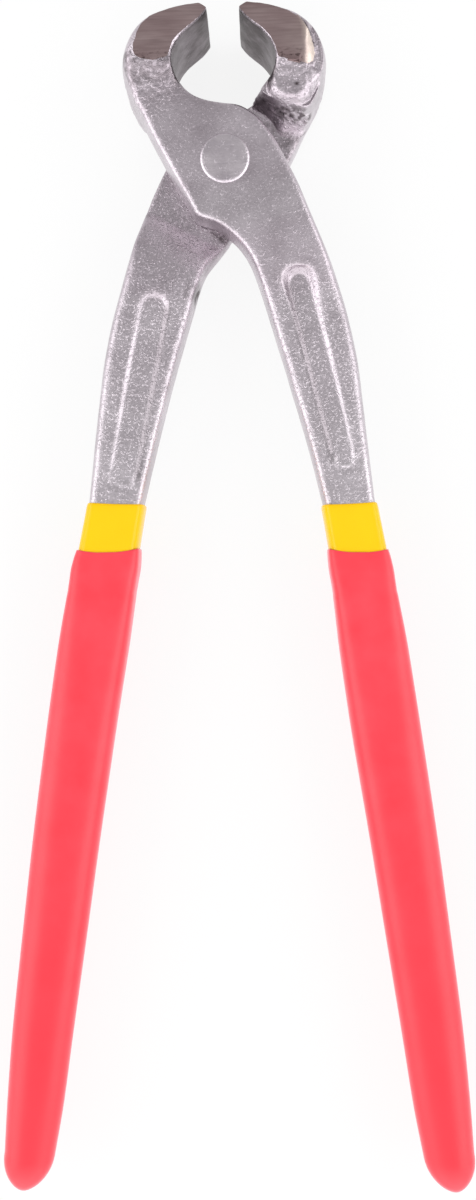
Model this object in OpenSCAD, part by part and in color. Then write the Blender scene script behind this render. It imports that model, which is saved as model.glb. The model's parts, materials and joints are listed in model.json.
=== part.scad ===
// End cutting nippers with two lapped forged levers, one solid rivet and dipped two-colour grips.
// Units are millimetres. The tool lies flat: +Z is up along the pivot, +Y points to the jaws,
// +X is to the right. The origin is the centre of the tool's footprint, at the level of the
// lower jaw faces. The jaws stand slightly open, as they do at rest.
// Both levers are the same forging. The rear one is turned half a turn about the long axis.

/* [Jaws] */
// Distance from the pivot to the top of the jaws
jaw_reach = 31.4; // [27:0.2:38]
// Distance from the lever's line to the back of the jaw
jaw_back = 16.8; // [15:0.1:19]
// Length of each cutting edge, which is the width of the jaws along the pivot
jaw_w = 20; // [18:0.5:26]
// Half of the throat's width inside one lever
throat_r = 6.2; // [4.5:0.1:7.5]
// Roundness of the back of the jaw, from its middle to its ground face
jaw_round = 3; // [1:0.1:4]

/* [Joint] */
// Thickness of the two lapped plates together
joint_t = 15; // [13:0.5:17]
// Half width of a plate, from the pivot to its outer edge
plate_r = 11.6; // [10.5:0.1:13]
// Distance from the pivot to the crotch between the handles
crotch_depth = 16.8; // [15:0.2:19]
// Radius of the round recess in which the other lever's plate turns
lap_r = 14; // [13.5:0.1:15]
// Slope of the round recess wall, away from the pivot axis
lap_slope = 12; // [8:1:30]
// Distance from the pivot to the foot of the jaw's straight shoulder, along the lever
shoulder_foot = 10.2; // [9.5:0.1:11.5]
// Distance from the pivot to the upper rim of that shoulder
shoulder_rim = 13.7; // [12.5:0.1:15]
// Free space between the two plates
lap_gap = 0.1; // [0.06:0.01:0.2]
// Draft and edge roundness of the forged plate
plate_round = 1; // [0.6:0.1:2]
// Angle between each lever's line and the middle line when the tool lies at rest
rest_angle = 11.7; // [8:0.1:16]

/* [Rivet] */
// Diameter of the rivet's shank
rivet_d = 8; // [6:0.1:9]
// Diameter of the rivet's heads
rivet_head_d = 10.1; // [9.6:0.1:12]
// Height of a rivet head above the plate
rivet_proud = 0.4; // [0.2:0.1:0.6]
// Depth of the countersink that holds a rivet head
rivet_sink = 1.6; // [1:0.1:2.5]
// Running clearance round the rivet, on the radius
rivet_gap = 0.05; // [0.02:0.01:0.1]

/* [Shanks] */
// Distance from the pivot to the start of the dipped coating
shank_l = 73.6; // [64:0.2:82]
// Width of a shank where it is widest
shank_w = 15.8; // [14:0.2:17]
// Thickness of a shank
shank_t = 9; // [8:0.2:10]
// Distance from the lever's line to the middle of the bowed shank
shank_bow = 10.2; // [9.5:0.1:12]
// Draft and edge roundness of a shank
shank_round = 1.8; // [0.8:0.1:2.4]
// Depth of the recessed panels in both faces of a shank
panel_depth = 0.7; // [0.3:0.1:1]
// Width of the panel in the face on the plate's side
front_panel_w = 5.6; // [4:0.1:6.5]
// Width of the panel in the face on the recess side
back_panel_w = 6.4; // [4:0.1:7]

/* [Handles] */
// Distance from the start of the coating to the end of the grip
grip_l = 145; // [130:0.2:165]
// Width of the steel tang inside the coating
tang_w = 11.8; // [10:0.1:13]
// Thickness of the steel tang inside the coating
tang_t = 8.2; // [7:0.1:9]
// Length of the coloured band that shows above the grip
band_l = 9.6; // [7:0.2:14]
// Thickness of the inner coating
sleeve_t = 0.45; // [0.3:0.05:0.8]
// Thickness of the grip's outer coating
grip_t = 0.8; // [0.6:0.05:1.5]
// Gap between one coating and the next layer in
coat_gap = 0.05; // [0.03:0.01:0.08]
// Slant of the coatings' upper edges across the lever, as both handles are dipped together
dip_slant = 10; // [0:0.5:14]

/* [Hidden] */

steel_colour = [0.66, 0.64, 0.66];
rivet_colour = [0.72, 0.7, 0.72];
sleeve_colour = [0.98, 0.84, 0.1];
grip_colour = [0.93, 0.3, 0.34];

jaw_half = jaw_w / 2;
plate_t = joint_t / 2;
shank_half = shank_t / 2;
half_gap = lap_gap / 2;
overrun = 2;

// Each row of a control table is one section across the lever. It holds the place of the
// outer edge, x and y, and of the inner edge, x and y, then the height of the plate's side
// and of the recess side, then the roundness at the outer edge and at the inner edge.

// Jaw, from the cutting edge to the throat floor. The outer edge is in shares of jaw_back
// and jaw_reach, the inner edge in shares of throat_r and jaw_reach, both heights in
// shares of half the jaw's width, and the roundness in shares of jaw_round.
jaw_shares = [
    [0.08, 0.99, 0.48, 0.945, 1, 1, 0.08, 0.06],
    [-0.1, 1.0, 0.22, 0.9, 1, 1, 0.1, 0.06],
    [-0.3, 1.0, -0.08, 0.865, 1, 1, 0.15, 0.06],
    [-0.53, 0.99, -0.42, 0.83, 1, 1, 0.3, 0.06],
    [-0.74, 0.948, -0.72, 0.78, 1, 1, 0.6, 0.08],
    [-0.9, 0.863, -0.93, 0.725, 1, 1, 0.9, 0.1],
    [-0.99, 0.755, -1.01, 0.665, 1, 0.99, 1, 0.14],
    [-1.0, 0.64, -0.96, 0.602, 0.86, 0.95, 0.85, 0.3],
    [-0.965, 0.51, -0.83, 0.542, 0.77, 0.93, 0.7, 0.42]
];

// Joint plate. Places are in shares of plate_r across and of crotch_depth along. Both
// heights are in shares of the plate's thickness, and the roundness in shares of plate_round.
joint_shares = [
    [-1.28, 0.69, -0.315, 0.885, 1, 1.22, 1.5, 1.2],
    [-1.19, 0.45, -0.11, 0.785, 1, 1.2, 1.3, 1.4],
    [-1.095, 0.22, 0.19, 0.69, 1, 1.15, 1.3, 1.1],
    [-1.0, 0.0, 0.49, 0.61, 1, 1.05, 1.3, 1],
    [-0.915, -0.2, 0.754, 0.42, 1, 1, 1.3, 1.1],
    [-0.835, -0.36, 0.965, 0.12, 1, 1, 1.2, 1.4],
    [-0.775, -0.5, 1.1, -0.2, 1, 1, 1.1, 1.4],
    [-0.71, -0.605, 1.2, -0.47, 1, 1, 1, 1.4],
    [-0.4, -0.74, 1.27, -0.73, 0.99, 0.9, 1.1, 1.4],
    [-0.13, -0.97, 1.34, -1.01, 0.94, 0.75, 1.3, 1.5],
    [0.04, -1.24, 1.41, -1.31, 0.85, 0.62, 1.5, 1.7]
];

// Shank. The columns are the place along shank_l, the middle's offset as a share of
// shank_bow, the width as a share of shank_w, and the height on the plate's side and on
// the recess side as shares of half the shank's thickness.
shank_shares = [
    [0.37, 0.89, 1, 1.2, 1],
    [0.475, 0.952, 1, 1.05, 1],
    [0.6, 0.995, 0.956, 1, 1],
    [0.73, 0.995, 0.88, 0.99, 0.99],
    [0.86, 0.976, 0.8, 0.96, 0.96]
];

// Tang inside the coating, along its length from the start of the coating to the rounded
// end: the middle's offset in shares of shank_bow, and the width and thickness in shares
// of tang_w and tang_t.
tang_bow_shares = [[0, 0.938], [0.09, 0.905], [0.23, 0.814], [0.37, 0.714], [0.52, 0.6],
                   [0.66, 0.471], [0.81, 0.329], [0.92, 0.2], [1, 0.114]];
tang_w_shares = [[0, 0.945], [0.09, 0.98], [0.23, 1], [0.37, 0.983], [0.52, 0.95],
                 [0.66, 0.907], [0.81, 0.847], [0.92, 0.771], [1, 0.66]];
tang_t_shares = [[0, 1.03], [0.1, 1], [0.37, 0.99], [0.66, 0.93], [0.81, 0.89],
                 [0.92, 0.85], [1, 0.78]];
tang_slant_shares = [[0, 0.92], [0.07, 1.2], [0.25, 0.6], [1, 0.4]];
tang_round_share = 0.5;
tang_steps = 11;

// Rounded end of the tang and of both coatings
end_l = 6.2;
end_layer_share = 1.15;
end_angles = [15, 30, 45, 60, 72, 82];

// The grip's mouth is thin and swells to the full thickness over this length
mouth_l = 9;
mouth_shares = [[0, 0.4], [0.08, 0.62], [0.45, 0.88], [1, 1]];
sleeve_mouth_shares = [[0, 0.55], [0.1, 1]];

// Panels of the shanks: the place of each end along shank_l, and the middle's offset there
// in shares of shank_bow
front_panel_shares = [[0.375, 0.895], [0.885, 1.03]];
back_panel_shares = [[0.435, 0.93], [0.92, 0.885]];
panel_wall = 0.7;

// Direction of the shank from the pivot, and the place where the recess side rises from
// the lap to the full thickness of the shank
shank_dir = -71;
ramp_start_share = 0.925;
ramp_l = 13;
// Swelling ramp: places along it, and how high they lie as shares of half the shank's thickness
ramp_shares = [[0.25, 0.36], [0.55, 0.72], [0.8, 0.92], [1, 1]];

// Hollow shoulder of the jaw: places between its foot and its rim, and how deep they lie as
// shares of half the jaw's width
shoulder_shares = [[0.3, 0.05], [0.55, 0.16], [0.78, 0.36], [1, 0.88], [1.05, 1.2]];

lap_steps = 4;
corner_steps = 5;
corner_power = 2 / 3;
corner_shares = [for (k = [0 : corner_steps])
    let (a = 90 * k / corner_steps)
    [1 - pow(cos(a), corner_power), pow(sin(a), corner_power)]];

// Total length of the coatings' layers over the steel
sleeve_inner = coat_gap;
sleeve_outer = sleeve_inner + sleeve_t;
grip_inner = sleeve_outer + coat_gap;
grip_outer = grip_inner + grip_t;
tang_l = grip_l - end_l - end_layer_share * grip_outer;

function row_scale(row, sizes) = [for (i = [0 : len(row) - 1]) row[i] * sizes[i]];

jaw_rows = [for (row = jaw_shares)
    row_scale(row, [jaw_back, jaw_reach, throat_r, jaw_reach, jaw_half, jaw_half,
                    jaw_round, jaw_round])];

joint_rows = [for (row = joint_shares)
    row_scale(row, [plate_r, crotch_depth, plate_r, crotch_depth, plate_t, plate_t,
                    plate_round, plate_round])];

function shank_row(share) =
    let (middle = share[1] * shank_bow, half = share[2] * shank_w / 2)
    let (y = -share[0] * shank_l)
    [middle - half, y, middle + half, y, share[3] * shank_half, share[4] * shank_half,
     shank_round, shank_round];

// Section of the tang at a share of its length, with a layer of the given thickness over it
function tang_row(share, layer) =
    let (middle = shank_bow * lookup(share, tang_bow_shares))
    let (half = tang_w / 2 * lookup(share, tang_w_shares) + layer)
    let (height = tang_t / 2 * lookup(share, tang_t_shares) + layer)
    let (y = -shank_l - tang_l * share)
    let (drop = half * tan(dip_slant) * lookup(share, tang_slant_shares))
    let (soft = (shank_round + (half * tang_round_share - shank_round) * min(1, share * 4)) + layer)
    [middle - half, y + drop, middle + half, y - drop, height, height, soft, soft];

// Rounded end beyond the tang's last section, for the same layer
function end_rows(layer) =
    let (last = tang_row(1, layer), middle = (last[0] + last[2]) / 2)
    let (reach = end_l + end_layer_share * layer)
    [for (a = end_angles)
        let (half = (last[2] - middle) * cos(a), drop = (last[1] - last[3]) / 2 * cos(a))
        let (y = (last[1] + last[3]) / 2 - reach * sin(a))
        [middle - half, y + drop, middle + half, y - drop, last[4] * cos(a), last[5] * cos(a),
         last[6] * cos(a), last[7] * cos(a)]];

// Smooth curve through the rows, with the given number of steps between two rows
function blend_rows(a, b, c, d, t) =
    0.5 * (2 * b + t * (c - a) + t * t * (2 * a - 5 * b + 4 * c - d)
           + t * t * t * (3 * b - a - 3 * c + d));

function smooth_rows(rows, steps) =
    let (last = len(rows) - 1)
    [for (i = [0 : last - 1], k = [0 : steps - 1])
        let (row = blend_rows(rows[max(i - 1, 0)], rows[i], rows[i + 1],
                              rows[min(i + 2, last)], k / steps))
        [row[0], row[1], row[2], row[3], min(row[4], jaw_half), min(row[5], jaw_half),
         row[6], row[7]]];

// Closed ring of points for one row
function ring(row) =
    let (outer = [row[0], row[1]], inner = [row[2], row[3]])
    let (middle = (outer + inner) / 2, half = norm(inner - outer) / 2)
    let (across = (inner - outer) / (2 * half), n = corner_steps)
    let (flat = concat(
        [for (k = [0 : n]) [half - row[7] * corner_shares[k][0], row[4] * corner_shares[k][1]]],
        [for (k = [n : -1 : 0]) [row[6] * corner_shares[k][0] - half, row[4] * corner_shares[k][1]]],
        [for (k = [1 : n]) [row[6] * corner_shares[k][0] - half, -row[5] * corner_shares[k][1]]],
        [for (k = [n : -1 : 1]) [half - row[7] * corner_shares[k][0], -row[5] * corner_shares[k][1]]]))
    [for (p = flat) [middle.x + across.x * p.x, middle.y + across.y * p.x, p.y]];

// Closed skin over a list of rings, with a flat face at both ends
module skin(rings) {
    n = len(rings[0]);
    last = len(rings) - 1;
    sides = [for (i = [0 : last - 1], k = [0 : n - 1])
        let (a = i * n + k, b = i * n + (k + 1) % n)
        each [[a, b + n, b], [a, a + n, b + n]]];
    first_end = [for (k = [0 : n - 1]) k];
    last_end = [for (k = [n - 1 : -1 : 0]) last * n + k];
    polyhedron(points = [for (r = rings) each r], faces = concat(sides, [first_end, last_end]),
               convexity = 8);
}

function tang_rows(from, to, layer) =
    [for (k = [0 : tang_steps]) tang_row(from + (to - from) * k / tang_steps, layer)];

// Rows of the whole lever, from the cutting edge to the end of the tang
lever_rows = concat(
    smooth_rows(concat(jaw_rows, joint_rows, [for (s = shank_shares) shank_row(s)],
                       [tang_row(0, 0)]), lap_steps),
    tang_rows(0, 1, 0),
    end_rows(0));

// Room for the other lever's plate: a round recess with a sloped wall, which opens into a
// flat seat and a ramp on the shank's side
module lap_cut() {
    depth = jaw_half + overrun;
    translate([0, 0, -depth])
        cylinder(h = depth + half_gap, r1 = lap_r + depth * tan(lap_slope), r2 = lap_r, $fn = 96);
    rise = shoulder_rim - shoulder_foot;
    translate([-jaw_back - plate_r, 0, 0])
        rotate([90, 0, 90])
            linear_extrude(height = jaw_back + plate_r)
                polygon(concat([[0, half_gap], [shoulder_foot, half_gap]],
                               [for (s = shoulder_shares)
                                   [shoulder_foot + rise * s[0], -jaw_half * s[1]]],
                               [[0, -jaw_half * shoulder_shares[len(shoulder_shares) - 1][1]]]));
    seat = crotch_depth * ramp_start_share;
    rotate([0, 0, shank_dir])
        rotate([90, 0, 0])
            translate([0, 0, -shank_w - plate_r])
                linear_extrude(height = 2 * (shank_w + plate_r))
                    polygon(concat([[0, half_gap], [seat, half_gap]],
                                   [for (s = ramp_shares)
                                       [seat + ramp_l * s[0], -shank_half * s[1]]],
                                   [[seat + ramp_l, -depth], [0, -depth]]));
}

// Sunk panel with round ends and sloped walls, in the face at +Z
module panel_cut(shares, width, face) {
    hull()
        for (s = shares)
            translate([s[1] * shank_bow, -s[0] * shank_l, face - panel_depth])
                cylinder(h = overrun, r1 = width / 2 - panel_wall,
                         r2 = width / 2 - panel_wall + panel_wall * overrun / panel_depth, $fn = 32);
}

module rivet_profile(gap, top) {
    shaft = rivet_d / 2 + gap;
    head = rivet_head_d / 2 + gap;
    flare = plate_t - rivet_sink;
    polygon([[0, 0], [shaft, 0], [shaft, flare], [head, plate_t - rivet_proud], [head, top],
             [0, top]]);
}

// Hole for the rivet in one plate, with its countersink
module rivet_hole() {
    translate([0, 0, -overrun])
        cylinder(h = plate_t + 2 * overrun, r = rivet_d / 2 + rivet_gap, $fn = 64);
    rotate_extrude($fn = 64)
        rivet_profile(rivet_gap, plate_t + overrun);
}

// One forged lever in its own frame: the pivot at the origin, the jaw towards +Y and the
// plate above the middle plane
module lever() {
    difference() {
        skin([for (row = lever_rows) ring(row)]);
        lap_cut();
        rivet_hole();
        panel_cut(front_panel_shares, front_panel_w, shank_half);
        mirror([0, 0, 1])
            panel_cut(back_panel_shares, back_panel_w, shank_half);
    }
}

// Closed coat over the tang, from a place along it to the end. The swell table thins the
// coat towards its mouth.
module coat(from, inner, outer, swell, swell_l) {
    thick = outer - inner;
    mouth = [for (s = swell) tang_row(from + s[0] * swell_l / tang_l, inner + thick * s[1])];
    rest_from = from + swell_l / tang_l;
    outside = [for (k = [1 : tang_steps])
        tang_row(rest_from + (1 - rest_from) * k / tang_steps, outer)];
    inside = tang_rows(from, 1, inner);
    inner_rows = concat(inside, end_rows(inner));
    last = len(inner_rows) - 1;
    rows = concat([for (i = [last : -1 : 0]) inner_rows[i]], mouth, outside, end_rows(outer));
    skin([for (row = rows) ring(row)]);
}

module sleeve() {
    coat(0, sleeve_inner, sleeve_outer, sleeve_mouth_shares, mouth_l);
}

module grip() {
    coat(band_l / tang_l, grip_inner, grip_outer, mouth_shares, mouth_l);
}

// Places a lever's part at its rest angle in the tool's frame
function turned_y(x, y) = x * sin(rest_angle) + y * cos(rest_angle);
end_row = tang_row(1, grip_outer);
end_reach = end_l + end_layer_share * grip_outer;
end_half = (end_row[2] - end_row[0]) / 2;
top_y = max([for (row = lever_rows) max(turned_y(row[0], row[1]), turned_y(row[2], row[3]))]);
bottom_y = turned_y((end_row[0] + end_row[2]) / 2, (end_row[1] + end_row[3]) / 2)
    - norm([end_half * sin(rest_angle), end_reach * cos(rest_angle)]);
pivot_y = -(top_y + bottom_y) / 2;

module place_front() {
    translate([0, pivot_y, jaw_half])
        rotate([0, 0, rest_angle])
            children();
}

module place_rear() {
    translate([0, pivot_y, jaw_half])
        rotate([0, 180, 0])
            rotate([0, 0, rest_angle])
                children();
}

module front_lever() {
    color(steel_colour)
        place_front()
            lever();
}

module rear_lever() {
    color(steel_colour)
        place_rear()
            lever();
}

// Solid rivet with two countersunk heads that stand slightly proud
module pivot_rivet() {
    head_top = plate_t + rivet_proud;
    edge = rivet_proud / 2;
    shaft = rivet_d / 2;
    head = rivet_head_d / 2;
    flare = plate_t - rivet_sink;
    half_profile = [[shaft, 0], [shaft, flare], [head, plate_t - rivet_proud],
                    [head, head_top - edge], [head - edge, head_top], [0, head_top]];
    color(rivet_colour)
        translate([0, pivot_y, jaw_half])
            rotate_extrude($fn = 64)
                polygon(concat([for (i = [len(half_profile) - 1 : -1 : 1])
                                   [half_profile[i].x, -half_profile[i].y]],
                               [for (i = [1 : len(half_profile) - 1]) half_profile[i]]));
}

module front_sleeve() {
    color(sleeve_colour)
        place_front()
            sleeve();
}

module rear_sleeve() {
    color(sleeve_colour)
        place_rear()
            sleeve();
}

module front_grip() {
    color(grip_colour)
        place_front()
            grip();
}

module rear_grip() {
    color(grip_colour)
        place_rear()
            grip();
}

front_lever();
rear_lever();
pivot_rivet();
front_sleeve();
rear_sleeve();
front_grip();
rear_grip();
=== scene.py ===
import json
import math

import bmesh
import bpy
import numpy as np
from mathutils import Matrix, Vector, noise


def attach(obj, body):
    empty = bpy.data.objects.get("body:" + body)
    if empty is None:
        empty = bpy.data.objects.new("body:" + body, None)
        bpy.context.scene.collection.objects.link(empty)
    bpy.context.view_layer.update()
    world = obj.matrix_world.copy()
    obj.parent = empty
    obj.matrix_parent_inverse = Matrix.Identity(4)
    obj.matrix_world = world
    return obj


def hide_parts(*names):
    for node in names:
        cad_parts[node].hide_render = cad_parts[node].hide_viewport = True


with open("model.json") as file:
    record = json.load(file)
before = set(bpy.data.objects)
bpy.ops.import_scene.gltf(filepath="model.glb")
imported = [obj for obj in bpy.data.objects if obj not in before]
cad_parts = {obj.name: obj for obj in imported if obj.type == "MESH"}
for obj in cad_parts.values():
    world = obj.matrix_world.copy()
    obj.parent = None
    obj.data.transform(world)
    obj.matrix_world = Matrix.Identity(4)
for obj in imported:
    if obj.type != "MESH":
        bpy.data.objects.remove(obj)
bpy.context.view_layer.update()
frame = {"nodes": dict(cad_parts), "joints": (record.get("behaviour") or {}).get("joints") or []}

# Sizes are in millimetres in each lever's own frame: the pivot at the origin, the jaw towards
# +Y, the plate above the middle plane and the recess below it.
MM = 0.001
PIVOT = Vector(frame["joints"][0]["pos_m"])
# Turn from a lever's own frame to its place at rest
REST = math.radians(11.7)
JAW_HALF = 10.0
PLATE_TOP = 7.5
SHANK_L = 73.6
PLACE = {
    "front": Matrix.Translation(PIVOT) @ Matrix.Rotation(REST, 4, "Z") @ Matrix.Scale(MM, 4),
    "rear": (Matrix.Translation(PIVOT) @ Matrix.Rotation(math.pi, 4, "Y")
             @ Matrix.Rotation(REST, 4, "Z") @ Matrix.Scale(MM, 4)),
}


# Materials

BLACK, WHITE = (0, 0, 0), (1, 1, 1)


class Nodes:
    """Short way to build the node tree of a material or of the world."""

    def __init__(self, owner, kind, coords):
        self.owner = owner
        owner.use_nodes = True
        self.tree = owner.node_tree
        self.tree.nodes.clear()
        self.out = self.add("ShaderNodeOutput" + kind)
        self.coords = self.add("ShaderNodeTexCoord").outputs[coords]

    def add(self, kind, **values):
        node = self.tree.nodes.new(kind)
        for key, value in values.items():
            setattr(node, key, value)
        return node

    def link(self, a, b):
        self.tree.links.new(a, b)

    def feed(self, socket, value):
        """Sets a socket to a number or a colour, or links another node's output to it."""
        if isinstance(value, (int, float)):
            socket.default_value = value
        elif isinstance(value, tuple):
            socket.default_value = (*value, 1)
        else:
            self.link(value, socket)

    def noise(self, per_mm, detail=2.0, rough=0.5, stretch=(1, 1, 1), offset=(0, 0, 0)):
        mapping = self.add("ShaderNodeMapping")
        mapping.inputs["Scale"].default_value = [per_mm * s / MM for s in stretch]
        mapping.inputs["Location"].default_value = offset
        self.link(self.coords, mapping.inputs["Vector"])
        tex = self.add("ShaderNodeTexNoise")
        tex.inputs["Scale"].default_value = 1.0
        tex.inputs["Detail"].default_value = detail
        tex.inputs["Roughness"].default_value = rough
        self.link(mapping.outputs["Vector"], tex.inputs["Vector"])
        return tex.outputs["Fac"]

    def ramp(self, fac, stops):
        """Each stop is a place with a colour or a grey level."""
        node = self.add("ShaderNodeValToRGB")
        elements = node.color_ramp.elements
        while len(elements) < len(stops):
            elements.new(0.5)
        for element, (place, colour) in zip(elements, stops):
            element.position = place
            element.color = (*colour, 1) if isinstance(colour, tuple) else (colour, colour, colour, 1)
        self.link(fac, node.inputs["Fac"])
        return node.outputs["Color"]

    def split_coords(self):
        node = self.add("ShaderNodeSeparateXYZ")
        self.link(self.coords, node.inputs[0])
        return node

    def math(self, kind, a, b, clamp=False):
        node = self.add("ShaderNodeMath", operation=kind, use_clamp=clamp)
        self.feed(node.inputs[0], a)
        self.feed(node.inputs[1], b)
        return node.outputs[0]

    def blend(self, kind, fac, a, b):
        node = self.add("ShaderNodeMix", data_type="RGBA", blend_type=kind)
        for socket, value in ((node.inputs["Factor"], fac), (node.inputs["A"], a), (node.inputs["B"], b)):
            self.feed(socket, value)
        return node.outputs["Result"]

    def multiply(self, fac, a, b):
        return self.blend("MULTIPLY", fac, a, b)

    def screen(self, fac, a, b):
        return self.blend("SCREEN", fac, a, b)

    def mix(self, fac, a, b):
        return self.blend("MIX", fac, a, b)

    def attribute(self, name):
        return self.add("ShaderNodeAttribute", attribute_name=name).outputs["Fac"]

    def bump(self, height, distance_mm, strength, normal=None):
        node = self.add("ShaderNodeBump")
        node.inputs["Distance"].default_value = distance_mm * MM
        self.feed(node.inputs["Strength"], strength)
        self.link(height, node.inputs["Height"])
        if normal:
            self.link(normal, node.inputs["Normal"])
        return node.outputs["Normal"]

    def shader_node(self, kind, **values):
        """Adds a shader and feeds its sockets. An underscore stands for a space in their names."""
        node = self.add(kind)
        for key, value in values.items():
            self.feed(node.inputs[key.replace("_", " ")], value)
        return node.outputs[0]

    def mix_shaders(self, fac, a, b):
        node = self.add("ShaderNodeMixShader")
        for socket, value in zip(node.inputs, (fac, a, b)):
            self.link(value, socket)
        return node.outputs["Shader"]

    def show(self, shader):
        self.link(shader, self.out.inputs["Surface"])

    def surface(self, colour, roughness, normal, **values):
        """Plain surface with these values. Gives back its material."""
        self.show(self.shader_node("ShaderNodeBsdfPrincipled", Base_Color=colour, Roughness=roughness,
                                   Normal=normal, **values))
        return self.owner


def material_nodes(name):
    return Nodes(bpy.data.materials.new(name), "Material", "Object")


def forged_steel():
    """Bare forged skin. Its grain, lighter trimmed sides, painted highlight, painted shade and dark spots
    come from the mesh's attributes.
    """
    n = material_nodes("forged_steel")
    grain = n.attribute("grain")
    patches = n.noise(0.13, 3.0)
    fine = n.noise(2.1, 4.0, 0.65)
    lumps = n.noise(2.0, 1.5, 0.5, offset=(3, 7, 1))
    tone = n.ramp(patches, [(0.3, (0.48, 0.422, 0.463)), (0.7, (0.65, 0.585, 0.634))])
    speck = n.ramp(fine, [(0.28, (0.45, 0.43, 0.45)), (0.5, WHITE)])
    colour = n.multiply(n.math("MULTIPLY", grain, 0.5), tone, speck)
    # Lighter bare steel where trimmed, and a painted highlight on the ridges at the panels' lower ends
    colour = n.screen(n.math("MULTIPLY", n.attribute("trim_and_highlight"), 0.5), colour, (0.5, 0.49, 0.5))
    # Painted shade and shadow in corners, hollows and below the plate, with a few dark spots, all in one dark
    # brown
    colour = n.multiply(n.attribute("soot_and_shade"), colour, (0.11, 0.09, 0.088))
    rough = n.math("ADD", n.math("MULTIPLY", fine, 0.16), 0.28)
    spots = n.ramp(lumps, [(0.55, BLACK), (0.72, WHITE)])
    marks = n.ramp(n.noise(0.75, 2.0, 0.5, offset=(2, 9, 4)), [(0.63, BLACK), (0.7, WHITE)])
    normal = n.bump(marks, 0.12, 0.4)
    normal = n.bump(spots, 0.10, n.math("ADD", n.math("MULTIPLY", grain, 0.6), 0.12), normal)
    normal = n.bump(fine, 0.075, n.math("ADD", n.math("MULTIPLY", grain, 0.75), 0.14), normal)
    return n.surface(colour, rough, normal, Metallic=1.0)


def ground_steel():
    """Ground sides of the jaws: brownish, with grinding lines, pitted near their lower border, and with a
    painted cream highlight on the bevel.
    """
    n = material_nodes("ground_steel")
    lines = n.noise(1.0, 4.0, 0.6, stretch=(0.12, 2.6, 1))
    broad = n.noise(0.2, 2.0, stretch=(0.5, 1.5, 1))
    tone = n.ramp(broad, [(0.3, (0.33, 0.235, 0.238)), (0.7, (0.45, 0.345, 0.345))])
    streak = n.ramp(lines, [(0.25, (0.72, 0.70, 0.70)), (0.6, WHITE)])
    colour = n.multiply(0.75, tone, streak)
    up = n.math("MULTIPLY", n.split_coords().outputs["Y"], 8.0)
    low = n.ramp(up, [(0.888, WHITE), (0.908, BLACK)])
    pits = n.ramp(n.noise(1.6, 3.0, 0.6, stretch=(0.6, 1.3, 1)), [(0.38, WHITE), (0.47, BLACK)])
    pitted = n.math("MULTIPLY", low, n.math("MULTIPLY", pits, 0.85))
    colour = n.multiply(pitted, colour, (0.2, 0.17, 0.17))
    # Painted highlight: the colour turns a light cream towards the bevel's outer rim
    colour = n.mix(n.math("MULTIPLY", n.attribute("edge"), 0.85), colour, (0.85, 0.74, 0.66))
    rough = n.math("ADD", n.math("MULTIPLY", lines, 0.2), 0.3)
    return n.surface(colour, rough, n.bump(lines, 0.025, 0.5), Metallic=1.0)


def rivet_steel():
    """Ground rivet head with a few dents and scratches."""
    n = material_nodes("rivet_steel")
    patches = n.noise(0.3, 3.0)
    fine = n.noise(2.0, 4.0, 0.65, offset=(5, 1, 2))
    tone = n.ramp(patches, [(0.3, (0.55, 0.495, 0.54)), (0.7, (0.74, 0.675, 0.72))])
    rough = n.math("ADD", n.math("MULTIPLY", fine, 0.16), 0.28)
    marks = n.ramp(n.noise(0.9, 2.0, 0.5, offset=(1, 4, 8)), [(0.58, BLACK), (0.66, WHITE)])
    scratches = n.noise(0.8, 3.0, 0.6, stretch=(0.25, 2.4, 1), offset=(3, 3, 0))
    scratches = n.ramp(scratches, [(0.35, BLACK), (0.55, WHITE)])
    normal = n.bump(scratches, 0.03, 0.5, n.bump(marks, 0.1, 0.4))
    return n.surface(tone, rough, n.bump(fine, 0.06, 0.45, normal), Metallic=1.0)


def coating(name, low, high, rough, shine, sheen, deep=None):
    """Dipped plastic with a soft sheen (weight, roughness, tint). Its colour goes over to deep
    towards its end."""
    n = material_nodes(name)
    patches = n.noise(0.12, 3.0)
    fine = n.noise(1.6, 2.0, 0.5)
    tone = n.ramp(patches, [(0.3, low), (0.7, high)])
    if deep:
        towards_end = n.math("MULTIPLY", n.split_coords().outputs["Y"], -8.5, clamp=True)
        tone = n.mix(towards_end, tone, deep)
    roughness = n.math("ADD", n.math("MULTIPLY", fine, 0.08), rough)
    normal = n.bump(fine, 0.02, 0.25)
    weight, spread, tint = sheen
    return n.surface(tone, roughness, normal, Specular_IOR_Level=shine, Sheen_Weight=weight,
                     Sheen_Roughness=spread, Sheen_Tint=tint)


STEEL = forged_steel()
GROUND = ground_steel()
RIVET = rivet_steel()
YELLOW = coating("yellow_coating", (0.93, 0.555, 0.0), (0.95, 0.58, 0.001), 0.2, 0.3,
                 (0.15, 0.4, (1, 0.9, 0.5)))
RED = coating("red_coating", (0.91, 0.035, 0.057), (0.97, 0.058, 0.084), 0.34, 0.5,
              (0.7, 0.4, (1, 0.7, 0.8)), deep=(0.95, 0.02, 0.04))


# Levers

# Outlines of the ground faces on the side of the jaws, plate side and recess side. They run past
# the jaw's inner wall. The recess side's face has a bevel along its outer edge.
GROUND_PLATE = [(2.4, 31.9), (3.7, 29.7), (1.4, 27.7), (-1.5, 26.5), (-3.9, 25.3), (-5.1, 24.3), (-5.9, 23.2),
                (-6.7, 22.3), (-8.3, 21.7), (-10.2, 21.5), (-12.4, 22.5), (-13.4, 23.3), (-14.1, 24.4),
                (-13.6, 26.1), (-12.5, 28.2), (-11.2, 29.9), (-9, 31.2), (-5, 32), (-1, 32)]
GROUND_RECESS = [(2.4, 31.9), (3.7, 29.7), (1.4, 27.7), (-1.5, 26.5), (-3.8, 25.1), (-5, 23.8), (-5.8, 22.3),
                 (-6.6, 21.1), (-8.6, 20.6), (-11, 20.8), (-13.4, 21.3), (-14.2, 22.4), (-13.9, 24.6),
                 (-12.7, 26.9), (-11, 28.9), (-9, 30.6), (-5, 31.6), (-1, 31.8)]
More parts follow.
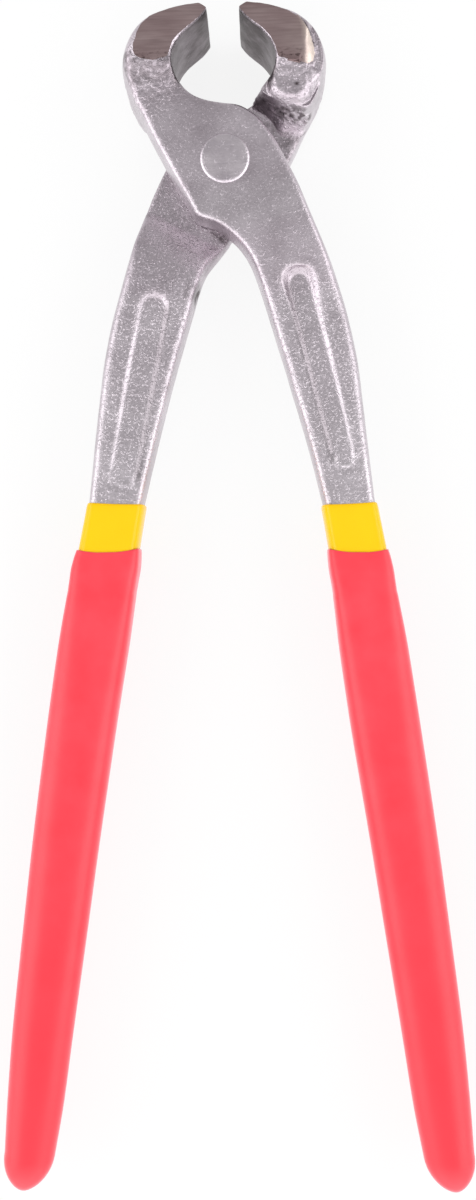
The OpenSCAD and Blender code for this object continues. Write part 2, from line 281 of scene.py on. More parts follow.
# The same face without its bevel
FLAT_RECESS = GROUND_RECESS[:9] + [(-11, 20.8), (-11.8, 21.1), (-11.5, 22.9), (-11.2, 24.3), (-10.7, 25.6),
                                   (-10.2, 27.3), (-9.7, 28.7), (-8.8, 30.3), (-5, 31.6), (-1, 31.8)]
# Pad between the recess side's ground face and the shoulder
PAD = [(-5.2, 21), (-5.7, 17.7), (-6.4, 14.8), (-7.6, 13.6), (-9.9, 13.0), (-12.8, 13.6), (-14.4, 15.4),
       (-15.2, 18), (-15.2, 22)]
# Edge length of the fine mesh, how near to each other the frame's points are merged, and how near to
# a cut's plane a point counts as on it
FINE, WELD, ON_PLANE = 0.3, 1e-3, 1e-5
# How far the fine mesh is smoothed in one step, the steps that soften all its edges, and the steps
# that wear some of them rounder
RELAX, SOFT_STEPS, WORN_STEPS = 0.6, 8, 34
# How far under the coats the fine mesh ends and the plain tang begins
FINE_END, TANG_FROM = 4, 2
# How deep the jaws' sides are cut flat, and the ground steel's place among a forging's materials
SIDE_CUT, GROUND_SLOT = 0.01, 1
# Each lever's seed for the noise of its skin, and how far one seed shifts the noise
SEEDS = {"front": 11, "rear": 31}
NOISE_SHIFT = (7.3, 3.1, 5.7)


def inside_distance(x, y, outline):
    """Distance to a closed outline, positive inside it."""
    best = np.full(x.shape, np.inf)
    inside = np.zeros(x.shape, bool)
    for (ax, ay), (bx, by) in zip(outline, outline[1:] + outline[:1]):
        dx, dy = bx - ax, by - ay
        t = np.clip(((x - ax) * dx + (y - ay) * dy) / (dx * dx + dy * dy), 0, 1)
        best = np.minimum(best, np.hypot(x - ax - t * dx, y - ay - t * dy))
        if dy:
            inside ^= ((ay > y) != (by > y)) & (x < ax + (y - ay) * dx / dy)
    return np.where(inside, best, -best)


def smooth_step(low, high, value):
    """0 below low, 1 above high, and a soft step between them."""
    t = np.clip((value - low) / (high - low), 0, 1)
    return t * t * (3 - 2 * t)


def fall(low, high, value):
    """1 below low, 0 above high, and a soft step between them."""
    return 1 - smooth_step(low, high, value)


def noise_at(co, per_mm, seed):
    """Smooth noise at each point, about -1 to 1. It is the same in every run."""
    shift = Vector([seed * s for s in NOISE_SHIFT])
    return np.array([noise.noise(Vector(p) * per_mm + shift) for p in co])


def blob(co, centre, size):
    """Soft ball of influence, 1 at its centre."""
    d = (co - np.array(centre)) / np.array(size)
    return np.exp(-(d ** 2).sum(1))


def relax(co, edges, weight, steps):
    """Moves each point towards the middle of its neighbours, as far as its weight says."""
    a, b = edges.T
    count = np.bincount(a, minlength=len(co)) + np.bincount(b, minlength=len(co))
    count = np.maximum(count, 1)
    for _ in range(steps):
        for axis in range(3):
            v = co[:, axis]
            mean = (np.bincount(a, v[b], len(co)) + np.bincount(b, v[a], len(co))) / count
            co[:, axis] = v + weight * (mean - v)
    return co


def cut(bm, point, normal, material=None):
    """Removes what lies beyond the plane and closes the cut with flat faces."""
    done = bmesh.ops.bisect_plane(bm, geom=bm.verts[:] + bm.edges[:] + bm.faces[:], dist=ON_PLANE,
                                  plane_co=point, plane_no=normal, clear_outer=True)
    edges = [e for e in done["geom_cut"] if isinstance(e, bmesh.types.BMEdge)]
    for face in bmesh.ops.holes_fill(bm, edges=edges, sides=0)["faces"]:
        face.smooth = False
        if material is not None:
            face.material_index = material


def smooth_faces(bm):
    for face in bm.faces:
        face.smooth = True


def mesh_from(bm, name):
    mesh = bpy.data.meshes.new(name)
    bm.to_mesh(mesh)
    bm.free()
    return mesh


def rows_of(items, key, kind, width):
    """One property of a mesh's points or edges, as rows of numbers."""
    values = np.zeros(len(items) * width, kind)
    items.foreach_get(key, values)
    return values.reshape(-1, width)


def add_piece(bm, name, materials, node, side):
    """Turns the mesh into a piece that replaces its node and rides on its body."""
    bm.transform(PLACE[side])
    piece = bpy.data.objects.new(name, mesh_from(bm, name))
    bpy.context.scene.collection.objects.link(piece)
    for material in materials:
        piece.data.materials.append(material)
    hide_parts(node)
    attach(piece, side)


def lean(co, side):
    """The two hand trimmed forgings differ: both shanks stand a little to the photo's right, and the
    front one is slimmer towards its coats."""
    y = co[:, 1]
    away = smooth_step(12, 30, -y) * fall(70, 125, -y)
    co[:, 0] += {"front": 0.45, "rear": -0.55}[side] * away
    if side == "front":
        narrow = 0.045 * smooth_step(45, 62, -y) * fall(88, 125, -y)
        co[:, 0] -= narrow * (co[:, 0] - 9.7)
    return co


def cad_lever():
    """The frame's front lever, in the lever's own frame. Both levers are the same forging."""
    bm = bmesh.new()
    bm.from_mesh(frame["nodes"]["front_lever"].data)
    bm.transform(PLACE["front"].inverted())
    bmesh.ops.remove_doubles(bm, verts=bm.verts, dist=WELD)
    return bm


def voxel_copy(bm, size):
    """The mesh again in fine even faces, which can carry small forms."""
    work = bpy.data.objects.new("work", mesh_from(bm, "work"))
    bpy.context.scene.collection.objects.link(work)
    remesh = work.modifiers.new("remesh", "REMESH")
    remesh.mode = "VOXEL"
    remesh.voxel_size = size
    fine = bpy.data.meshes.new_from_object(work.evaluated_get(bpy.context.evaluated_depsgraph_get()))
    bpy.data.objects.remove(work)
    return fine


def worn_weight(co):
    """Where the edges are rounder still: on the pad, the ramp, the outer rim and the shank."""
    x, y, z = co.T
    pad = smooth_step(12, 13, y) * fall(15.5, 18, y) * fall(-5, -3, z)
    ramp = smooth_step(13, 16, np.hypot(x, y)) * fall(-10, -7, y)
    ramp *= smooth_step(-30, -26, y) * fall(-1, 0.5, z)
    rim = fall(0.8, 2.2, abs(z)) * fall(-12.5, -10.5, x) * smooth_step(0, 3, y)
    middle = np.interp(-y, [20, 45, 74], [8.2, 9.9, 9.6])
    shank = smooth_step(2.9, 3.5, abs(x - middle))
    shank *= smooth_step(24, 29, -y) * fall(66, 72, -y)
    return np.maximum.reduce([pad, 0.8 * ramp, 0.7 * rim, 0.75 * shank])


def fine_forging():
    """Fine mesh of the visible end of the forging, before its surface gets its grain."""
    bm = cad_lever()
    cut(bm, (0, -SHANK_L - FINE_END, 0), (0, -1, 0))
    mesh = voxel_copy(bm, FINE)
    co = rows_of(mesh.vertices, "co", float, 3)
    edges = rows_of(mesh.edges, "vertices", int, 2)
    tip = smooth_step(25, 30, co[:, 1])
    co = relax(co, edges, RELAX * (1 - 0.85 * tip), SOFT_STEPS)
    co = relax(co, edges, RELAX * worn_weight(co), WORN_STEPS)
    return co, mesh


def grain_weight(co):
    """How grainy the forged skin is: high on shank, neck and shoulder, low on the plate's face."""
    x, y, z = co.T
    radius = np.hypot(x, y)
    plate_face = fall(14, 19, radius) * smooth_step(5, 7, z)
    apron = smooth_step(5, 10, -y) * fall(24, 31, -y) * smooth_step(3.2, 4.2, z)
    lower = 0.2 * smooth_step(64, 67, -y) * smooth_step(3, 4, abs(z))
    grain = 1 - np.maximum(0.48 * np.maximum(plate_face, apron), lower)
    inner_wall = smooth_step(14, 18, y) * smooth_step(-7.5, -5.5, x)
    inner_wall *= fall(8.5, 9.5, abs(z))
    bevel = smooth_step(-0.2, 0.3, inside_distance(x, y, GROUND_RECESS))
    bevel *= (z < -7.5) * smooth_step(9.5, 10.5, -x)
    grain = np.minimum(grain, 1 - 0.85 * np.maximum(inner_wall, bevel))
    seat = fall(9.5, 11, radius) * fall(0.5, 1.5, abs(z))
    return np.clip(grain * (1 - 0.6 * seat), 0.1, 1)


# Lower ends of the sunk panels: side of the lever, middle of the end's arc, its radius, and how
# clear the ridge along it is
PANEL_ENDS = ((1, (10.6, -63.7), 2.4, 1.0), (-1, (8.7, -66.5), 2.5, 0.6))
# The panels: side of the lever, their middle line's two ends, and their width
PANELS = ((1, (9.13, -27.6), (10.5, -65.1), 5.6), (-1, (9.49, -32), (9.03, -67.7), 6.4))


def panel_end(x, y, z):
    """Low ridge that closes the lower end of each sunk panel."""
    best = np.zeros(x.shape)
    for sign, (x1, y1), radius, level in PANEL_ENDS:
        reach = np.hypot(x - x1, y - y1)
        ridge = level * np.exp(-((reach - radius) / 0.65) ** 2)
        ridge *= fall(y1 - 0.6, y1 + 0.8, y)
        best = np.maximum(best, ridge * (sign * z > 2))
    return best


def trim_and_highlight_weight(co, normals):
    """Brighter bare steel of the trimmed sides, a little of it on the lower shank, and a painted highlight on
    the ridges at the panels' lower ends.
    """
    x, y, z = co.T
    side_wall = fall(0.3, 0.75, abs(normals[:, 2]))
    inner_jaw = smooth_step(10, 12, y) * smooth_step(-8.5, -7, x)
    crotch = smooth_step(-27, -18, y) * fall(-6, 0, y) * smooth_step(-6.5, -5, x)
    wall = side_wall * (1 - inner_jaw) * (1 - np.clip(crotch, 0, 1))
    face = 0.35 * smooth_step(28, 32, -y) + 0.25 * smooth_step(45, 60, -y)
    plate = 0.35 * smooth_step(3, 9, -y) * fall(12, 17, -y) * smooth_step(4, 5, z)
    # The ridges at the panels' lower ends get a painted highlight
    return np.maximum.reduce([wall, face, plate, panel_end(x, y, z)])


def panel_wall_shade(x, y, z):
    """Painted shade on the walls of the sunk panels on the side of the crotch, and at the upper end of the
    plate side's panel.
    """
    best = np.zeros(x.shape)
    for sign, (x0, y0), (x1, y1), width in PANELS:
        wall = x0 + (x1 - x0) * (y - y0) / (y1 - y0) - width / 2 + 0.3
        near = fall(0.45, 1.0, abs(x - wall))
        near *= smooth_step(y1 - 1, y1 + 1, y) * fall(y0, y0 + 2.5, y)
        top = np.exp(-((x - x0) / 2.6) ** 2 - ((y - y0 - width / 2 + 0.2) / 1.1) ** 2)
        best = np.maximum(best, (sign * z > 3) * (0.33 * near + 0.3 * (sign > 0) * top))
    return best


# Start and run of the painted shadow streak in the crotch
STREAK = ((0.4, -13.5), (-4.2, -1.7))


def crotch_shadow(co):
    """Painted shadow: a dark streak from behind the plate down to the crotch, and painted shade in a spot on
    the plate's side of it.
    """
    x, y, z = co.T
    (start_x, start_y), (run_x, run_y) = STREAK
    along = ((x - start_x) * run_x + (y - start_y) * run_y) / (run_x ** 2 + run_y ** 2)
    along = np.clip(along, 0, 1)
    off = np.hypot(x - start_x - run_x * along, y - start_y - run_y * along) / (0.5 + 0.65 * along)
    streak = (0.6 + 0.32 * along) * np.exp(-off ** 2)
    streak *= fall(0.4, 1.2, z) * smooth_step(-5, -3.5, z)
    return np.maximum(streak, 0.7 * blob(co, (-3.6, -16.5, 2.5), (1.2, 1.0, 1.6)))


def jaw_shade_and_spots(co, side, seed):
    """Darkening on the jaw: painted shade on its inner wall and its neck, dark patches on its foot and the
    dark pit in the pad.
    """
    x, y, z = co.T
    # Painted shade on the inner wall, deeper on the rear lever and towards the tip
    wall = {"front": 0.68, "rear": 0.82}[side] + 0.2 * smooth_step(23, 30.5, y)
    wall *= fall(9.2, 9.7, abs(z)) * smooth_step(15, 18, y) * smooth_step(-7.6, -6.2, x)
    wall *= 1 + 0.28 * noise_at(co, 0.3, seed + 1) + 0.15 * noise_at(co, 0.9, seed + 2)
    # Painted shade on the neck below the plate side's ground face, broken up by noise
    neck = smooth_step(17, 19.5, y) * (inside_distance(x, y, GROUND_PLATE) < 0.1)
    neck *= smooth_step(7, 8, z) * (y < 25)
    neck *= 0.48 * (1 - 0.8 * smooth_step(0.1, 0.32, noise_at(co, 1.3, seed + 4)))
    foot = smooth_step(8.2, 9.6, y) * fall(12.6, 13.6, y)
    foot *= fall(-4, -1.5, z) * smooth_step(4.5, 6, -x)
    foot *= 0.75 * smooth_step(-0.1, 0.25, noise_at(co, 1.25, seed + 6))
    pit = 1.6 * blob(co, (-11.6, 16.9, -9), (0.36, 0.3, 2)) * (side == "rear")
    return np.maximum.reduce([wall, neck, foot, pit])


# Shade on the ramp beside the plate: how strong it is, and its distance from the pivot
RAMP_SHADE, RAMP_AT = 0.42, 17.6


def soot_and_shade_weight(co, side, seed):
    """Painted shade and shadow in the corners: beside the shoulder, in the crotch and on the jaws' walls, and
    a few dark spots.
    """
    x, y, z = co.T
    speckle = 0.75 + 0.8 * noise_at(co, 0.8, seed)
    # Painted shade in the pocket beside the shoulder
    pocket = 1.15 * blob(co, (-3.6, 13.0, -4.2), (3.4, 1.6, 3.4))
    # Painted shade in the rear crotch's notch
    notch = 1.3 * np.exp(-((y + 27.2) / 2.0) ** 2 - ((z + 0.2) / 3.2) ** 2)
    notch *= (x < 4) * (side == "rear")
    reach = np.hypot(x, y)
    # Painted shade on the lap seat between the levers
    seat = (0.22 + 0.2 * smooth_step(-4, 4, y)) * fall(0.3, 0.8, abs(z))
    seat *= fall(10.5, 12, y)
    # Painted shade in the crease where the bevel meets the side
    line = 0.7 * fall(0.1, 0.3, abs(inside_distance(x, y, GROUND_RECESS)))
    line *= (z < -8) * (x < -10)
    ramp = RAMP_SHADE * np.exp(-((reach - RAMP_AT) / 2.1) ** 2) * (y < -6)
    ramp *= fall(-2.5, 0, z)
    # The painted shades of the corners, the crotch and the seat, speckled
    corner_shade = np.maximum.reduce([pocket, crotch_shadow(co), notch, seat, line]) * speckle
    shades = [corner_shade, jaw_shade_and_spots(co, side, seed), ramp, panel_wall_shade(x, y, z)]
    return np.clip(np.maximum.reduce(shades), 0, 1)


def ground_lift(x, y, sign):
    """Rise of the jaw's side above its ground face, and its fall outside it."""
    if sign > 0:
        d = inside_distance(x, y, GROUND_PLATE)
        return np.where(d > 0, np.minimum(0.25 * d, 0.5), np.maximum(0.06 * d, -0.2))
    flat, outer = inside_distance(x, y, FLAT_RECESS), inside_distance(x, y, GROUND_RECESS)
    reach = np.clip(-flat, 0, 2.6)
    bevel = 0.3 * np.minimum(outer, 0) - 0.06 * reach - 0.19 * reach ** 2
    below = np.maximum(0.1 * flat, -0.35)
    side = smooth_step(0, 1.2, -x - 11.4) * smooth_step(20, 21.4, y)
    outside = np.maximum(side * bevel + (1 - side) * below, -1.5)
    return np.where(flat > 0, np.minimum(0.25 * flat, 0.5), outside)


def shaped(co, side, seed):
    """Moves the plain forging's points: a gentler foot under the jaw, the ground faces' lift and
    bevel, the pad's round edge, the plate's flat middle, and what was trimmed by hand."""
    x, y, z = co.T
    gentle = smooth_step(6, 11.5, y) * fall(13.4, 15, y) * smooth_step(7.5, 10.5, -x)
    y = y - 1.5 * gentle * np.clip(1 + z / 8.5, 0, 1) * fall(-0.1, 0.3, z)
    jaw = smooth_step(15, 17.5, y)
    lumps = 0.07 * noise_at(co, 0.75, seed + 2)
    for sign in (1, -1):
        near = smooth_step(8.0, 9.8, sign * z) * jaw
        z = z + sign * near * (ground_lift(x, y, sign) + lumps)
    roll = np.clip(1.7 - inside_distance(x, y, PAD), 0, 2.2)
    pad = smooth_step(7.0, 9.0, -z) * smooth_step(12.2, 13.2, y) * fall(17.5, 19.5, y)
    z = z + pad * 0.34 * roll ** 2
    z = np.where((z > 6.4) & (np.hypot(x, y) < 6.2), PLATE_TOP, z)
    if side == "front":
        trimmed = np.exp(-((y - 11) / 2.4) ** 2) * smooth_step(-0.4, 0.4, -z)
        x = x + 0.8 * trimmed * smooth_step(11, 12.8, -x)
    else:
        fuller = np.exp(-((y + 17.4) / 4.6) ** 2) * smooth_step(-3.5, 2, z) * fall(1, 6, x)
        x = x - 1.25 * fuller * smooth_step(12, 15, -y)
    return np.column_stack([x, y, z])


def weathered(co, normals, grain, side, seed):
    """Adds the skin's waves, the lumps on neck and foot, the rear crotch's notch and the panels'
    lower ends. The lapped faces stay plain, so that the levers keep clear of each other."""
    x, y, z = co.T
    neck = smooth_step(14, 16, y) * fall(19, 22, y) * fall(-6, -4, x)
    foot = smooth_step(9.5, 10.8, y) * fall(12, 13.5, y) * fall(-4, -1, z)
    rough = np.maximum(neck, 1.2 * foot * (x < -3))
    wave = 0.05 * noise_at(co, 0.2, seed) + (0.02 + 0.18 * rough) * noise_at(co, 1.05, seed + 3) * grain
    notch = 0.5 * np.exp(-((y + 27.6) / 1.8) ** 2 - ((z + 0.5) / 2.5) ** 2)
    wave -= notch * (x < 4) * (side == "rear")
    wave += 0.34 * panel_end(x, y, z)
    lap = fall(16, 18, np.hypot(x, y)) * fall(0.4, 1.0, abs(z))
    return co + normals * (wave * (1 - lap))[:, None]


def visible_end(side, seed):
    """The forging from the jaw to the coats, with its attributes."""
    co, mesh = fine_forging()
    co = shaped(co, side, seed)
    mesh.vertices.foreach_set("co", co.ravel())
    mesh.update()
    normals = rows_of(mesh.vertices, "normal", float, 3)
    x, y, z = co.T
    grain = grain_weight(co)
    # Painted highlight on the bevel of the recess side's ground face, strongest at its outer rim
    edge = smooth_step(-0.3, 2.1, -inside_distance(x, y, FLAT_RECESS)) * (z < -7) * (x < -9)
    co = weathered(co, normals, grain, side, seed)
    for name, value in (("grain", grain), ("trim_and_highlight", trim_and_highlight_weight(co, normals)), ("edge", edge),
                        ("soot_and_shade", soot_and_shade_weight(co, side, seed + 5))):
        mesh.attributes.new(name, "FLOAT", "POINT").data.foreach_set("value", value.astype(np.float32))
    co = lean(co, side)
    mesh.vertices.foreach_set("co", co.ravel())
    return mesh


def hidden_tang(side):
    """The forging's other end, inside the coats."""
    bm = cad_lever()
    cut(bm, (0, -SHANK_L - TANG_FROM, 0), (0, 1, 0))
    smooth_faces(bm)
    for vert, place in zip(bm.verts, lean(np.array([v.co for v in bm.verts]), side)):
        vert.co = place
    return mesh_from(bm, "tang")


def lever(side, seed):
    """The forging: its fine visible end, with its ground faces, and its plain tang."""
    mesh = visible_end(side, seed)
    bm = bmesh.new()
    bm.from_mesh(mesh)
    bpy.data.meshes.remove(mesh)
    smooth_faces(bm)
    for sign in (1, -1):
        cut(bm, (0, 0, sign * (JAW_HALF - SIDE_CUT)), (0, 0, sign), GROUND_SLOT)
    near = [f for f in bm.faces if f.calc_center_median().z < -7 and f.calc_center_median().y > 20]
    middle = np.array([f.calc_center_median() for f in near])
    inside = (inside_distance(middle[:, 0], middle[:, 1], GROUND_RECESS) > 0.1) & (middle[:, 0] < -9)
    for face, ground in zip(near, inside):
        if ground:
            face.material_index = GROUND_SLOT
    tang = hidden_tang(side)
    bm.from_mesh(tang)
    bpy.data.meshes.remove(tang)
    add_piece(bm, side + "_forging", (STEEL, GROUND), side + "_lever", side)


# Coatings

# The tang's bow, width, thickness, corner radius and the slant of the coats' mouths in degrees, as
# in the solids
SHANK_BOW, TANG_W, TANG_T, SHANK_ROUND, DIP_SLANT = 10.2, 11.8, 8.2, 1.8, 10.0
# Length of the grip from the yellow coat's mouth, of the yellow coat and of the rounded end. The
# end grows by a share of the coat's thickness.
GRIP_L, BAND_L, END_L, END_SHARE = 145.0, 9.6, 6.2, 1.15
# Heights of both coats' inside and outside above the tang
SLEEVE_IN, SLEEVE_OUT = 0.05, 0.42
GRIP_IN, GRIP_OUT = 0.55, 1.35
TANG_L = GRIP_L - END_L - END_SHARE * GRIP_OUT

# How the tang's bow, width, thickness and slant change along its length
BOW_SHARES = [(0, 0.938), (0.09, 0.905), (0.23, 0.814), (0.37, 0.714), (0.52, 0.6), (0.66, 0.471),
              (0.81, 0.329), (0.92, 0.2), (1, 0.114)]
WIDE_SHARES = [(0, 0.945), (0.09, 0.98), (0.23, 1), (0.37, 0.983), (0.52, 0.95), (0.66, 0.907),
               (0.81, 0.847), (0.92, 0.771), (1, 0.66)]
THICK_SHARES = [(0, 1.03), (0.1, 1), (0.37, 0.99), (0.66, 0.93), (0.81, 0.89), (0.92, 0.85), (1, 0.78)]
SLANT_SHARES = [(0, 0.92), (0.07, 1.2), (0.25, 0.6), (1, 0.4)]

# How the coats' lips rise from the inside to the outside, along the lip's length
LIP_L = 9
BAND_LIP_SHARES = [(0, 0.0), (0, 0.35), (0.006, 0.6), (0.02, 0.85), (0.05, 1.0), (0.1, 1.08), (0.2, 1.05),
                   (0.4, 1.0), (0.7, 1.0), (1, 1)]
GRIP_LIP_SHARES = [(0, 0.0), (0, 0.06), (0.006, 0.12), (0.02, 0.18), (0.05, 0.27), (0.1, 0.42),
                   (0.17, 0.62), (0.26, 0.84), (0.34, 1.0), (0.42, 1.08), (0.55, 1.1), (0.75, 1.04), (1, 1)]
# How boxy the grip's section is along the tang, and how much boxier on its inside
GRIP_POWERS = [(0, 6.6), (0.066, 5.9), (0.12, 4.4), (0.25, 2.9), (0.5, 2.35), (0.8, 2.15), (1, 2.1)]
BOXIER = 0.35
# Each coat: start as a share of the tang, inside, outside, lip, how far the middle of its mouth dips
# towards the end, powers of its section if it softens, and how much slimmer it is near the mouth
COATS = {
    "band": (0, SLEEVE_IN, SLEEVE_OUT, BAND_LIP_SHARES, 0.15, None, {"front": 0, "rear": 0}),
    "grip": (BAND_L / TANG_L, GRIP_IN, GRIP_OUT, GRIP_LIP_SHARES, 0.8, GRIP_POWERS,
             {"front": 0.4, "rear": 0.28}),
}
# The dip of the mouth's middle fades out over this length, and the slimmer part ends between these
DIP_L, SLIM_ENDS = 8, (5, 22)
# Rings along a coat, points of a soft ring, steps of a corner and of half a face, and the angles of
# the rings round the end
ALONG, AROUND, CORNER_STEPS, FACE_STEPS = 120, 96, 14, 9
END_ANGLES = [math.radians(a) for a in (*range(6, 73, 6), 77, 82, 86, 89)]
# How bluntly the end narrows, and how far its tip stays inside the solid's
END_POWER, END_SLACK = 1.25, 0.02


def smooth_lookup(share, table):
    """Curve through a table's points, so that the coat has no corners between them."""
    xs, ys = zip(*table)
    share = min(max(share, 0), 1)
    i = max(k for k in range(len(xs) - 1) if xs[k] <= share or k == 0)
    slopes = []
    for k in (i, i + 1):
        low, high = max(k - 1, 0), min(k + 1, len(xs) - 1)
        slopes.append((ys[high] - ys[low]) / (xs[high] - xs[low]))
    h = xs[i + 1] - xs[i]
    t = (share - xs[i]) / h
    return ((2 * t ** 3 - 3 * t ** 2 + 1) * ys[i] + (t ** 3 - 2 * t ** 2 + t) * h * slopes[0]
            + (3 * t ** 2 - 2 * t ** 3) * ys[i + 1] + (t ** 3 - t ** 2) * h * slopes[1])


def tang_row(share, layer):
    """Section at a share of the tang, a layer above it: its middle, the reach from there to its inner
    side, its half thickness and its corner radius."""
    half = TANG_W / 2 * smooth_lookup(share, WIDE_SHARES) + layer
    height = TANG_T / 2 * smooth_lookup(share, THICK_SHARES) + layer
    drop = half * math.tan(math.radians(DIP_SLANT)) * smooth_lookup(share, SLANT_SHARES)
    soft = SHANK_ROUND + (half * 0.5 - SHANK_ROUND) * min(1, max(0, share) * 4) + layer
    middle = np.array([SHANK_BOW * smooth_lookup(share, BOW_SHARES), -SHANK_L - TANG_L * share])
    return middle, np.array([half, -drop]), height, soft


def end_row(layer, angle):
    """Section of the rounded end, from the tang's end (angle 0) to its tip."""
    middle, reach, height, soft = tang_row(1, layer)
    c, s = math.cos(angle), math.sin(angle)
    tip = np.array([0, (END_L + END_SHARE * layer - END_SLACK) * s])
    return middle - tip, reach * c ** END_POWER, height * c, soft * c


def ring(row, dip):
    """Closed section with soft corners. dip moves the middle of both faces towards the end."""
    middle, reach, height, soft = row
    half = np.linalg.norm(reach)
    corner = []
    for k in range(CORNER_STEPS + 1):
        angle = math.pi / 2 * k / CORNER_STEPS
        c, s = math.cos(angle), math.sin(angle)
        out = (abs(c) ** 3 + abs(s) ** 3) ** (-1 / 3)
        corner.append((half - soft * (1 - out * c), height * out * s))
    flat = max(half - soft, 0.01)
    face = [(flat * (1 - k / FACE_STEPS), height) for k in range(1, 2 * FACE_STEPS)]
    upper = corner + face + [(-p, q) for p, q in reversed(corner)]
    points = []
    for p, q in upper + [(-p, -q) for p, q in upper[1:-1]]:
        x, y = middle + reach * p / half
        points.append((x, y - dip * (1 - min(1, abs(p) / half) ** 2), q))
    return points


def soft_ring(row, dip, power):
    """Closed section between a soft box (high power) and an oval (power 2)."""
    middle, reach, height, _ = row
    points = []
    for k in range(AROUND):
        angle = 2 * math.pi * (k + 0.5) / AROUND
        p, q = (math.copysign(abs(v) ** (2 / power), v) for v in (math.cos(angle), math.sin(angle)))
        x, y = middle + reach * p
        points.append((x, y - dip * (1 - p * p), height * q))
    return points


def coat_rings(kind, side):
    """Rings of a closed coat: its inside from the end to the mouth, its lip, and its outside from
    there round the end."""
    start, inner, outer, lip, dip, powers, slims = COATS[kind]
    slim = slims[side]

    def section(row, share, depth, more):
        if powers:
            return soft_ring(row, depth, smooth_lookup(share, powers) + more)
        return ring(row, depth)

    def along(share, layer, more=0.0):
        near = max(0, 1 - (share - start) * TANG_L / DIP_L)
        return section(tang_row(share, layer), share, dip * near, more)

    def round_end(layer, more=0.0):
        return [section(end_row(layer, angle), 1, 0, more) for angle in END_ANGLES]

    rings = round_end(inner, BOXIER)[::-1]
    for k in range(ALONG, -1, -1):
        rings.append(along(start + (1 - start) * k / ALONG, inner, BOXIER))
    for reach, rise in lip:
        layer = inner + (outer - inner) * rise - slim * min(1, reach * 3)
        rings.append(along(start + reach * LIP_L / TANG_L, layer))
    first = start + LIP_L / TANG_L
    for k in range(1, ALONG + 1):
        share = first + (1 - first) * k / ALONG
        slimmer = slim * fall(*SLIM_ENDS, (share - start) * TANG_L)
        rings.append(along(share, outer - slimmer))
    return rings + round_end(outer)


def mouth_shift(co, side):
    """The left coats were dipped a little deeper than the right ones."""
    start, end = {"front": (-0.35, 0), "rear": (0.5, 0.6)}[side]
    co[:, 1] += start + (end - start) * smooth_step(85, 140, -co[:, 1])
    return co


def coat(kind, name, side, material, node):
    """Closed dipped coat, from its lip along the tang and round its end."""
    rings = coat_rings(kind, side)
    n = len(rings[0])
    bm = bmesh.new()
    verts = [bm.verts.new(p) for p in mouth_shift(lean(np.concatenate(rings), side), side)]
    for i in range(0, len(verts) - n, n):
        for k in range(n):
            a, b = i + k, i + (k + 1) % n
            bm.faces.new((verts[a], verts[a + n], verts[b + n], verts[b]))
    bm.faces.new(verts[:n])
    bm.faces.new(verts[-n:][::-1])
    bmesh.ops.recalc_face_normals(bm, faces=bm.faces)
    smooth_faces(bm)
    add_piece(bm, name, [material], node, side)


# Rivet

# Radius and height from the middle of the head, over its rolled ring, to the middle of the shaft
RIVET_PROFILE = [(0, 7.86), (2.5, 7.85), (4.3, 7.83), (4.55, 7.8), (4.72, 7.75), (4.86, 7.67), (4.98, 7.57),
                 (5.08, 7.46), (5.14, 7.3), (5.14, 7.1), (4, 5.9), (4, 0)]
RIVET_SIDES = 96


def rivet():
    """Both heads and the shaft, turned about the pivot."""
    bm = bmesh.new()
    rows = []
    for r, z in RIVET_PROFILE + [(r, -z) for r, z in reversed(RIVET_PROFILE[:-1])]:
        angles = [2 * math.pi * k / RIVET_SIDES for k in range(RIVET_SIDES if r else 1)]
        rows.append([bm.verts.new((r * math.cos(a), r * math.sin(a), z)) for a in angles])
    for a, b in zip(rows, rows[1:]):
        for k in range(RIVET_SIDES):
            j = (k + 1) % RIVET_SIDES
            # A row on the axis is one point, which a face takes once
            corners = [a[k % len(a)], b[k % len(b)], b[j % len(b)], a[j % len(a)]]
            bm.faces.new(list(dict.fromkeys(corners)))
    bmesh.ops.recalc_face_normals(bm, faces=bm.faces)
    smooth_faces(bm)
    add_piece(bm, "rivet", [RIVET], "pivot_rivet", "front")


for side, seed in SEEDS.items():
    lever(side, seed)
    coat("band", side + "_band", side, YELLOW, side + "_sleeve")
    coat("grip", side + "_dipped_grip", side, RED, side + "_grip")
rivet()


# Floor, light and camera, in metres

# Half the floor's side, and how far it lies under the tool
FLOOR_HALF, FLOOR_DROP = 3, 0.00005
FLOOR_GREY = (0.9, 0.9, 0.9)
# How much of the floor is plain white to the camera near the tool, where the rest keeps a soft
# shadow, and how much of it is to glossy faces
GLOW_NEAR, GLOW_GLOSSY = 0.86, 0.75
# The share that keeps the shadow shrinks from this distance on, with this factor per metre
GLOW_FROM, GLOW_GROWTH = 0.25, 2.0
# Level of the surroundings from below to above, and their factor from the handles to the jaws
SKY_LEVELS = [(0.0, 1.0), (0.2, 1.15), (0.5, 0.95), (0.8, 0.67), (1.0, 0.62)]
FORE_LEVELS = [(0.0, 1.35), (0.35, 1.15), (0.5, 1.0), (0.67, 0.74), (1.0, 0.6)]
# Soft lamps: name, place, target, width and height, and power in watts
LAMPS = (
    ("left_box", (-0.75, 0.02, 0.46), (0, 0.02, 0), (1.2, 0.6), 3.2),
    ("right_box", (0.75, 0.0, 0.48), (0, 0.02, 0), (1.2, 0.6), 3.2),
    ("low_box", (0.0, -0.8, 0.5), (0, 0.05, 0), (1.5, 0.85), 3.0),
)
# The camera stands above the tool, a little towards the handles, as the photograph shows it. Its
# focal length is in pixels of a photograph this high, and its place is seen from the pivot.
FOCAL_PX, PHOTO_H_PX, SENSOR_MM = 1344, 1200, 36
CAMERA_AT = (0.008, -0.09005, 0.281)
CAMERA_YAW, CAMERA_ROLL = math.radians(-1.35), math.radians(0.72)


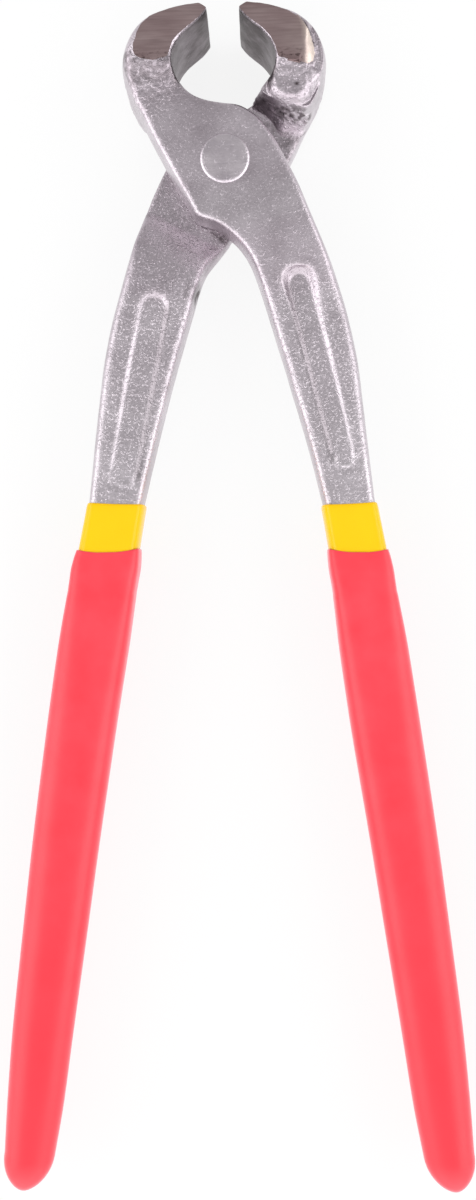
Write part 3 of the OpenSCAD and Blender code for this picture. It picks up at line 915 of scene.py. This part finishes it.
def white_floor():
    h = FLOOR_HALF
    mesh = bpy.data.meshes.new("floor")
    mesh.from_pydata([(-h, -h, 0), (h, -h, 0), (h, h, 0), (-h, h, 0)], [], [(0, 1, 2, 3)])
    floor = bpy.data.objects.new("floor", mesh)
    floor.location.z = -FLOOR_DROP
    bpy.context.scene.collection.objects.link(floor)
    n = material_nodes("floor_white")
    length = n.add("ShaderNodeVectorMath", operation="LENGTH")
    n.link(n.coords, length.inputs[0])
    far = n.math("SUBTRACT", length.outputs["Value"], GLOW_FROM, clamp=True)
    far = n.math("MULTIPLY", far, GLOW_GROWTH, clamp=True)
    glow = n.math("ADD", GLOW_NEAR, n.math("MULTIPLY", far, 1 - GLOW_NEAR))
    path = n.add("ShaderNodeLightPath")
    seen = n.math("MULTIPLY", path.outputs["Is Camera Ray"], glow)
    mirrored = n.math("MULTIPLY", path.outputs["Is Glossy Ray"], GLOW_GLOSSY)
    diffuse = n.shader_node("ShaderNodeBsdfDiffuse", Color=FLOOR_GREY)
    white = n.shader_node("ShaderNodeEmission", Color=WHITE, Strength=1.0)
    n.show(n.mix_shaders(n.math("ADD", seen, mirrored, clamp=True), diffuse, white))
    mesh.materials.append(n.owner)


def studio():
    """Surroundings brighter towards the handles than towards the jaws, white for the camera."""
    world = bpy.data.worlds.new("studio")
    bpy.context.scene.world = world
    n = Nodes(world, "World", "Generated")
    direction = n.split_coords()
    fore = n.add("ShaderNodeMapRange")
    fore.inputs["From Min"].default_value = -1.0
    n.link(direction.outputs["Y"], fore.inputs["Value"])
    light = n.shader_node("ShaderNodeBackground", Color=n.ramp(direction.outputs["Z"], SKY_LEVELS),
                          Strength=n.ramp(fore.outputs["Result"], FORE_LEVELS))
    white = n.shader_node("ShaderNodeBackground", Color=WHITE)
    seen = n.add("ShaderNodeLightPath").outputs["Is Camera Ray"]
    n.show(n.mix_shaders(seen, light, white))


def area_light(name, place, target, size, power):
    data = bpy.data.lights.new(name, "AREA")
    data.shape = "RECTANGLE"
    data.size, data.size_y = size
    data.energy = power
    lamp = bpy.data.objects.new(name, data)
    lamp.location = place
    lamp.rotation_euler = (Vector(target) - Vector(place)).to_track_quat("-Z", "Y").to_euler()
    bpy.context.scene.collection.objects.link(lamp)


def photo_camera():
    camera = bpy.data.objects.new("camera", bpy.data.cameras.new("camera"))
    bpy.context.scene.collection.objects.link(camera)
    camera.data.sensor_width = SENSOR_MM
    camera.data.lens = FOCAL_PX / PHOTO_H_PX * SENSOR_MM
    camera.data.clip_start = 0.01
    camera.data.clip_end = 20
    turn = Matrix.Rotation(CAMERA_ROLL, 3, "Z") @ Matrix.Rotation(CAMERA_YAW, 3, "Y")
    place = PIVOT + Vector(CAMERA_AT)
    camera.matrix_world = Matrix.Translation(place) @ turn.transposed().to_4x4()
    bpy.context.scene.camera = camera


white_floor()
studio()
for lamp in LAMPS:
    area_light(*lamp)
photo_camera()
bpy.context.scene.view_settings.view_transform = "Standard"
